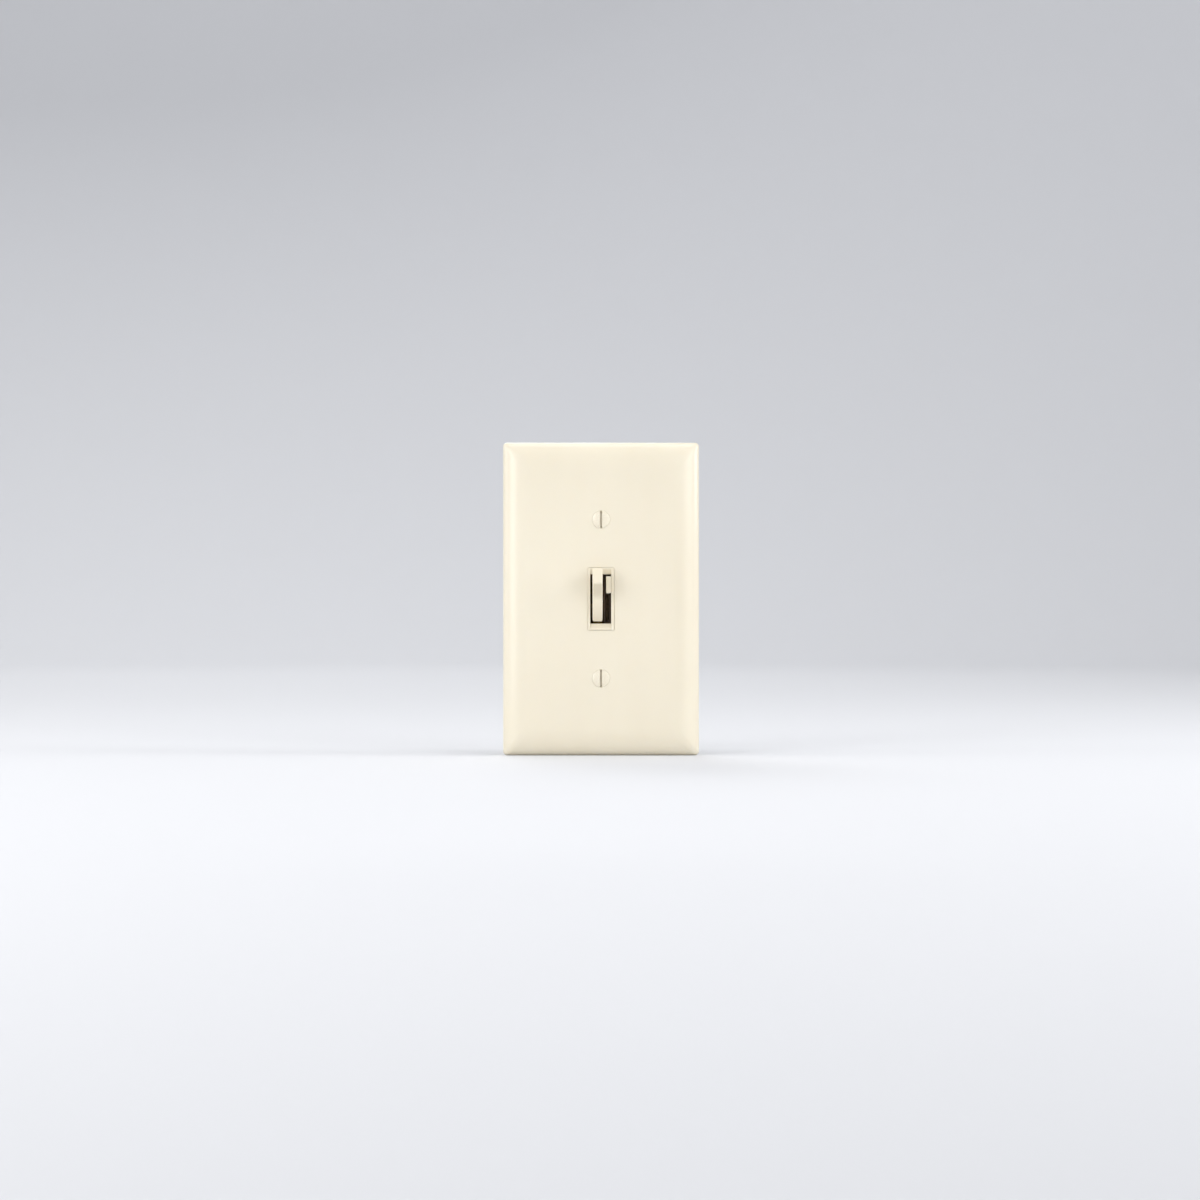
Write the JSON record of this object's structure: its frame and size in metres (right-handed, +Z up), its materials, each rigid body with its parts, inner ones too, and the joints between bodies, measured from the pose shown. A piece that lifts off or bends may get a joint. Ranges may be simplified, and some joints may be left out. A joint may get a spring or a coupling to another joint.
{
  "type": "wall dimmer with toggle and slide",
  "caption": "One-gang wall dimmer: toggle switch with a narrow dimming slide beside it, in a screw-on ivory wall plate, on a metal strap with a rear housing.",
  "frame": {"origin": "on the wall surface at the centre of the device, midway between its screws", "axes": "+X to the viewer's right, -Y out of the wall towards the viewer, +Z up"},
  "size_m": [0.0746, 0.0475, 0.119],
  "materials": {
    "plate_ivory": "moulded ivory thermoplastic, semi-gloss",
    "control_ivory": "moulded ivory thermoplastic, semi-gloss, a little yellower where it is thin",
    "screw_ivory": "steel screw with an ivory painted head",
    "strap_aluminium": "blanked aluminium sheet, mill finish with fine rolling lines",
    "zinc_steel": "bright zinc-plated steel",
    "earth_green": "green dyed plating on steel",
    "housing_black": "black glass-filled thermoplastic, fine matt texture",
    "guide_brown": "dark brown phenolic moulding, satin",
    "brass_strip": "plain brass strip and screws",
    "contact_silver": "silver alloy contact button",
    "nylon_white": "natural nylon",
    "fish_paper": "grey vulcanised fibre sheet",
    "retainer_card": "brown pressed card",
    "board_laminate": "phenolic paper laminate",
    "epoxy_black": "moulded black epoxy with tinned legs",
    "film_red": "dipped or boxed film capacitor case",
    "core_yellow": "painted powdered-iron core",
    "copper_wire": "enamelled copper wire",
    "resistor_tan": "lacquered ceramic body",
    "diac_blue": "small glass or epoxy body"
  },
  "bodies": {
    "base": {"wall_plate": "plate_ivory", "plate_screw_upper": "screw_ivory", "plate_screw_lower": "screw_ivory", "yoke": "strap_aluminium", "bezel_frame": "control_ivory", "control_guide": "guide_brown", "device_screw_upper": "zinc_steel", "device_screw_lower": "zinc_steel", "screw_retainer_upper": "retainer_card", "screw_retainer_lower": "retainer_card", "housing_screw_1": "zinc_steel", "housing_screw_2": "zinc_steel", "housing_screw_3": "zinc_steel", "housing_screw_4": "zinc_steel", "ground_screw": "earth_green", "rear_housing": "housing_black", "insulating_sheet": "fish_paper", "toggle_axle": "zinc_steel", "fixed_contact": "contact_silver", "contact_arm": "brass_strip", "rocker_bracket": "brass_strip", "rocker_pin": "zinc_steel", "pot_frame": "zinc_steel", "pot_track_board": "board_laminate", "circuit_board": "board_laminate", "board_screw_1": "zinc_steel", "board_screw_2": "zinc_steel", "terminal_plate_line": "brass_strip", "terminal_screw_line": "brass_strip", "terminal_plate_load": "brass_strip", "terminal_screw_load": "brass_strip", "triac_pad": "nylon_white", "triac_tab": "zinc_steel", "triac_body": "epoxy_black", "triac_rivet": "strap_aluminium", "choke_core": "core_yellow", "choke_winding": "copper_wire", "filter_capacitor": "film_red", "timing_capacitor": "film_red", "resistor_1": "resistor_tan", "resistor_2": "resistor_tan", "diac": "diac_blue"},
    "toggle": {"toggle_lever": "control_ivory", "toggle_plunger": "nylon_white", "plunger_spring": "zinc_steel"},
    "rocker": {"contact_rocker": "brass_strip", "moving_contact": "contact_silver"},
    "slider": {"slider_knob": "control_ivory", "slider_carrier": "nylon_white", "pot_wiper": "brass_strip"}
  },
  "joints": [
    {"name": "toggle", "type": "hinge", "parent": "base", "child": "toggle", "pos_m": [-0.00133, 0.0012, 0], "axis": [1, 0, 0], "range_deg": [0, 54]},
    {"name": "contact_rocker", "type": "hinge", "parent": "base", "child": "rocker", "pos_m": [-0.00133, 0.015, 0], "axis": [1, 0, 0], "range_deg": [-16, 0]},
    {"name": "slider", "type": "slide", "parent": "base", "child": "slider", "axis": [0, 0, 1], "range_m": [-0.0106, 0]}
  ],
  "couplings": [
    {"joint": "contact_rocker", "follows": "toggle", "ratio": -0.296}
  ]
}
